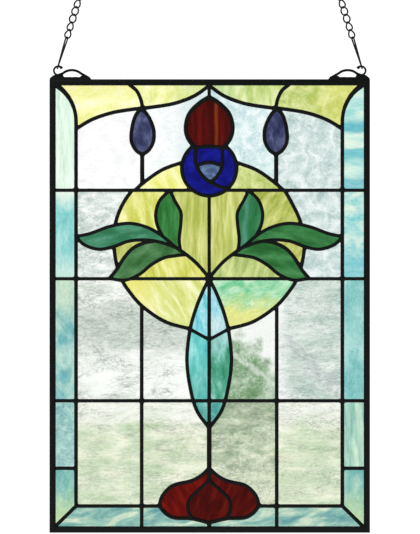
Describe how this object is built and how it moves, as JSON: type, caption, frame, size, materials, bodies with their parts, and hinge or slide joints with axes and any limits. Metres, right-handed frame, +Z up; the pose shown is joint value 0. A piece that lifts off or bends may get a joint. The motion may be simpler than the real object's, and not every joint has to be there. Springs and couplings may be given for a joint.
{
  "type": "stained glass hanging panel",
  "caption": "Framed rectangular stained glass panel with a leaded flower and leaf pattern in coloured glass, wire hangers on its top corners and short chains with end rings.",
  "frame": {"origin": "midway between the middles of the two end rings at the top of the chains, where the panel hangs", "axes": "+X to the viewer's right along the panel's width, +Y away from the viewer through the glass, +Z up"},
  "size_m": [0.359, 0.0066, 0.6171],
  "materials": {
    "black_patina": "satin",
    "blackened_wire": "satin",
    "aqua_glass": "rippled",
    "yellow_glass": "rippled",
    "lime_glass": "rippled",
    "clear_glass": "rippled",
    "violet_glass": "smooth",
    "red_glass": "streaky",
    "cobalt_glass": "smooth",
    "slate_glass": "smooth",
    "green_glass": "streaky",
    "turquoise_glass": "streaky"
  },
  "bodies": {
    "root": {"chain_left": "blackened_wire", "chain_right": "blackened_wire", "frame": "black_patina", "glass_bloom_red": "red_glass", "glass_border_bottom_left": "aqua_glass", "glass_border_bottom_right": "aqua_glass", "glass_border_side_left": "aqua_glass", "glass_border_side_right": "aqua_glass", "glass_bud_left": "violet_glass", "glass_bud_right": "violet_glass", "glass_bulb_lobe_left": "red_glass", "glass_bulb_lobe_right": "red_glass", "glass_bulb_petal": "red_glass", "glass_disc_cap_left": "yellow_glass", "glass_disc_cap_right": "yellow_glass", "glass_disc_chip_left": "lime_glass", "glass_disc_chip_right": "lime_glass", "glass_disc_inner_left": "lime_glass", "glass_disc_inner_right": "lime_glass", "glass_disc_outer_left": "yellow_glass", "glass_disc_outer_right": "yellow_glass", "glass_disc_quarter_left": "yellow_glass", "glass_disc_quarter_right": "yellow_glass", "glass_disc_underleaf_left": "lime_glass", "glass_disc_underleaf_right": "lime_glass", "glass_field_foot_inner_left": "clear_glass", "glass_field_foot_inner_right": "clear_glass", "glass_field_foot_outer_left": "clear_glass", "glass_field_foot_outer_right": "clear_glass", "glass_field_low_inner_left": "clear_glass", "glass_field_low_inner_right": "clear_glass", "glass_field_low_outer_left": "clear_glass", "glass_field_low_outer_right": "clear_glass", "glass_field_side_lower_left": "clear_glass", "glass_field_side_lower_right": "clear_glass", "glass_field_side_upper_left": "clear_glass", "glass_field_side_upper_right": "clear_glass", "glass_field_top_inner_left": "clear_glass", "glass_field_top_inner_right": "clear_glass", "glass_field_top_outer_left": "clear_glass", "glass_field_top_outer_right": "clear_glass", "glass_leaf_long_left": "green_glass", "glass_leaf_long_right": "green_glass", "glass_leaf_low_left": "green_glass", "glass_leaf_low_right": "green_glass", "glass_leaf_upright_left": "green_glass", "glass_leaf_upright_right": "green_glass", "glass_ring_crescent": "cobalt_glass", "glass_ring_crown": "cobalt_glass", "glass_ring_eye": "slate_glass", "glass_ring_side": "cobalt_glass", "glass_top_centre_left": "yellow_glass", "glass_top_centre_right": "yellow_glass", "glass_top_corner_left": "yellow_glass", "glass_top_corner_right": "yellow_glass", "glass_vesica_left": "turquoise_glass", "glass_vesica_right": "turquoise_glass", "hanger_left": "blackened_wire", "hanger_right": "blackened_wire", "solder_network": "black_patina"}
  },
  "joints": []
}
